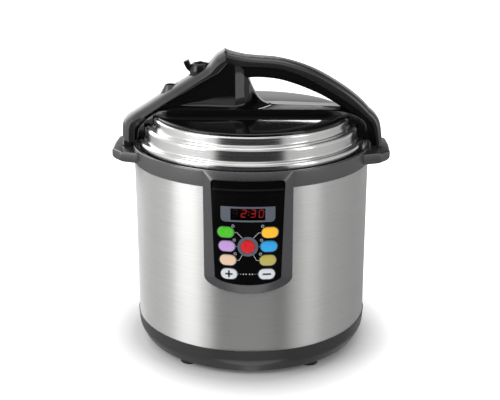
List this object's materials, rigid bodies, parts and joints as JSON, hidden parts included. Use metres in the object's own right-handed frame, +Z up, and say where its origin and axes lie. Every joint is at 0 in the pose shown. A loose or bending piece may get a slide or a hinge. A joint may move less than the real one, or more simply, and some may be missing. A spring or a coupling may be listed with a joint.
{
  "type": "electric pressure cooker",
  "caption": "Round brushed-steel electric pressure cooker with a turn-to-lock stepped lid, arched lid handle with valve, side handles and a curved front control panel.",
  "frame": {"origin": "on the floor, under the middle of the round body", "axes": "+Z up, the control panel faces -Y, the lid handle and side handles lie along X"},
  "size_m": [0.34, 0.3018, 0.3665],
  "materials": {
    "foot_rubber": "soft matt rubber",
    "body_plastic": "satin moulded plastic",
    "zinc_sheet": "galvanised sheet",
    "screw_steel": "zinc plated",
    "brushed_shell": "fine horizontal brushing",
    "collar_steel": "pressed stainless sheet",
    "well_steel": "galvanised sheet",
    "heater_aluminium": "cast and turned",
    "element_steel": "dark oxidised sheath",
    "switch_plastic": "plain",
    "ceramic_white": "white sleeve",
    "spring_steel": "spring wire",
    "board_green": "solder mask",
    "board_parts": "moulded component bodies",
    "inlet_plastic": "fine texture",
    "pin_brass": "bare",
    "bezel_plastic": "satin grey",
    "fascia_black": "deep gloss",
    "display_grey": "printed silver grey",
    "display_window": "dark tinted window",
    "display_red": "lit red segments",
    "display_black": "black housing",
    "indicator_clear": "unlit lenses",
    "pot_aluminium": "dark non-stick inside, anodised outside",
    "cup_clear": "clear smoky plastic",
    "seal_silicone": "translucent silicone",
    "lid_steel": "polished stainless steel",
    "cover_black": "mirror gloss",
    "handle_black": "high gloss",
    "handle_grey": "satin",
    "rack_steel": "stainless wire and sheet",
    "float_silicone": "red silicone",
    "key_green": "glossy",
    "key_violet": "glossy",
    "key_peach": "glossy",
    "key_yellow": "glossy",
    "key_blue": "glossy",
    "key_olive": "glossy",
    "key_white": "glossy",
    "key_red": "glossy"
  },
  "bodies": {
    "root": {"feet": "foot_rubber", "base_tray": "body_plastic", "bottom_cover": "zinc_sheet", "base_screws": "screw_steel", "outer_shell": "brushed_shell", "top_ring": "body_plastic", "locking_collar": "collar_steel", "cooking_well": "well_steel", "heating_plate": "heater_aluminium", "heating_element": "element_steel", "spring_plate": "well_steel", "pressure_switch": "switch_plastic", "thermal_fuse": "ceramic_white", "sensor_cup": "screw_steel", "sensor_spring": "spring_steel", "power_board": "board_green", "power_board_parts": "board_parts", "power_inlet": "inlet_plastic", "inlet_pins": "pin_brass", "cup_pocket": "body_plastic", "control_bezel": "bezel_plastic", "control_fascia": "fascia_black", "display_frame": "display_grey", "display_lens": "display_window", "display_digits": "display_red", "display_module": "display_black", "indicator_lights": "indicator_clear", "start_ring": "display_grey", "control_board": "board_green", "tact_switches": "board_parts"},
    "sensor": {"sensor_plunger": "heater_aluminium"},
    "pot": {"inner_pot": "pot_aluminium"},
    "cup": {"condensate_cup": "cup_clear"},
    "seal": {"sealing_ring": "seal_silicone"},
    "lid": {"lid_shell": "lid_steel", "lid_cover": "cover_black", "handle_base": "handle_black", "handle_top": "handle_grey", "handle_grip_core": "handle_black", "handle_screws": "screw_steel", "seal_rack": "rack_steel", "vent_pipe": "rack_steel", "vent_shield": "rack_steel", "vent_nut": "rack_steel", "float_guard": "handle_grey", "float_seal": "float_silicone"},
    "valve": {"valve_knob": "handle_black", "valve_weight": "rack_steel"},
    "float": {"float_pin": "rack_steel"},
    "key_green": {"key_green": "key_green"},
    "key_violet": {"key_violet": "key_violet"},
    "key_peach": {"key_peach": "key_peach"},
    "key_yellow": {"key_yellow": "key_yellow"},
    "key_blue": {"key_blue": "key_blue"},
    "key_olive": {"key_olive": "key_olive"},
    "key_plus": {"key_plus": "key_white"},
    "key_minus": {"key_minus": "key_white"},
    "key_start": {"key_start": "key_red"}
  },
  "joints": [
    {"name": "lid_lift", "type": "slide", "parent": "root", "child": "seal", "axis": [0, 0, 1], "range_m": [0, 0.4]},
    {"name": "lid_turn", "type": "hinge", "parent": "seal", "child": "lid", "pos_m": [0, 0, 0.25], "axis": [0, 0, 1], "range_deg": [-22.5, 0]},
    {"name": "pot_lift", "type": "slide", "parent": "root", "child": "pot", "axis": [0, 0, 1], "range_m": [0, 0.2]},
    {"name": "valve_turn", "type": "hinge", "parent": "lid", "child": "valve", "pos_m": [-0.062, 0, 0.34], "axis": [0, 0, 1], "range_deg": [0, 60]},
    {"name": "float_rise", "type": "slide", "parent": "lid", "child": "float", "axis": [0, 0, 1], "range_m": [0, 0.004]},
    {"name": "sensor_press", "type": "slide", "parent": "root", "child": "sensor", "axis": [0, 0, -1], "range_m": [0, 0.0012], "stiffness_N_per_m": 600},
    {"name": "cup_slide", "type": "slide", "parent": "root", "child": "cup", "axis": [0, 1, 0], "range_m": [0, 0.03]},
    {"name": "key_green_press", "type": "slide", "parent": "root", "child": "key_green", "axis": [0.1668, 0.986, 0], "range_m": [0, 0.0008], "stiffness_N_per_m": 400},
    {"name": "key_violet_press", "type": "slide", "parent": "root", "child": "key_violet", "axis": [0.159, 0.9873, 0], "range_m": [0, 0.0008], "stiffness_N_per_m": 400},
    {"name": "key_peach_press", "type": "slide", "parent": "root", "child": "key_peach", "axis": [0.1513, 0.9885, 0], "range_m": [0, 0.0008], "stiffness_N_per_m": 400},
    {"name": "key_yellow_press", "type": "slide", "parent": "root", "child": "key_yellow", "axis": [-0.1668, 0.986, 0], "range_m": [0, 0.0008], "stiffness_N_per_m": 400},
    {"name": "key_blue_press", "type": "slide", "parent": "root", "child": "key_blue", "axis": [-0.159, 0.9873, 0], "range_m": [0, 0.0008], "stiffness_N_per_m": 400},
    {"name": "key_olive_press", "type": "slide", "parent": "root", "child": "key_olive", "axis": [-0.1513, 0.9885, 0], "range_m": [0, 0.0008], "stiffness_N_per_m": 400},
    {"name": "key_plus_press", "type": "slide", "parent": "root", "child": "key_plus", "axis": [0.1435, 0.9897, 0], "range_m": [0, 0.0008], "stiffness_N_per_m": 400},
    {"name": "key_minus_press", "type": "slide", "parent": "root", "child": "key_minus", "axis": [-0.1435, 0.9897, 0], "range_m": [0, 0.0008], "stiffness_N_per_m": 400},
    {"name": "key_start_press", "type": "slide", "parent": "root", "child": "key_start", "axis": [0, 1, 0], "range_m": [0, 0.0008], "stiffness_N_per_m": 400}
  ],
  "couplings": [
    {"joint": "pot_lift", "follows": "lid_lift", "ratio": 0.5}
  ]
}
